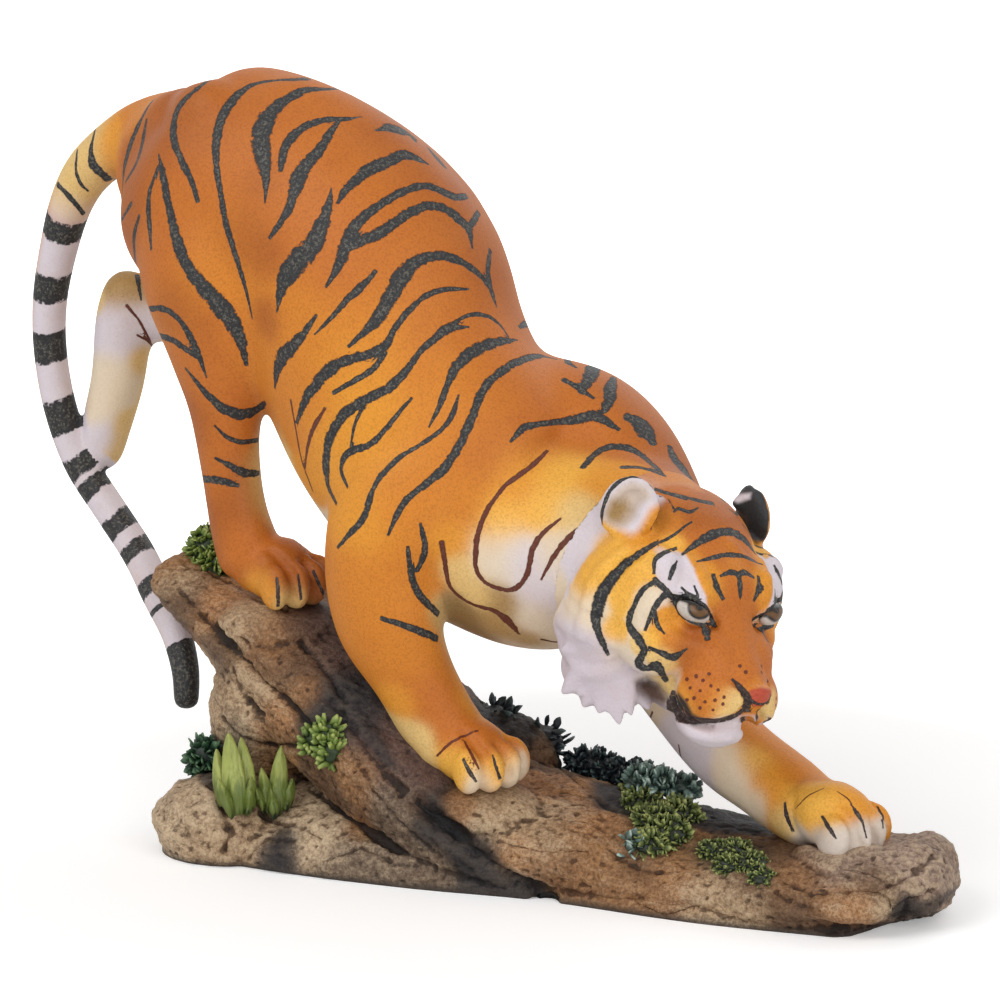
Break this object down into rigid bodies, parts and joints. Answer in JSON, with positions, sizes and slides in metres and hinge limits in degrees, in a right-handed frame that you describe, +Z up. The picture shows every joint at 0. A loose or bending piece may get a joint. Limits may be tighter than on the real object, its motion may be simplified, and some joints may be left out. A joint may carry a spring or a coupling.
{
  "type": "tiger figurine",
  "caption": "Painted resin figurine of a tiger stepping down a sloping rock, head low, one forepaw reaching ahead, one hind leg raised and the tail hanging.",
  "frame": {"origin": "on the flat underside of the rock, below the belly of the tiger, at the middle of the length of the base", "axes": "+X along the rock from its raised end to its low end, the way the tiger climbs down; +Y towards the tiger's left side; +Z up"},
  "size_m": [0.3274, 0.1119, 0.2348],
  "materials": {
    "painted_resin": "satin"
  },
  "bodies": {
    "root": {"tiger_on_rock": "painted_resin"}
  },
  "joints": []
}
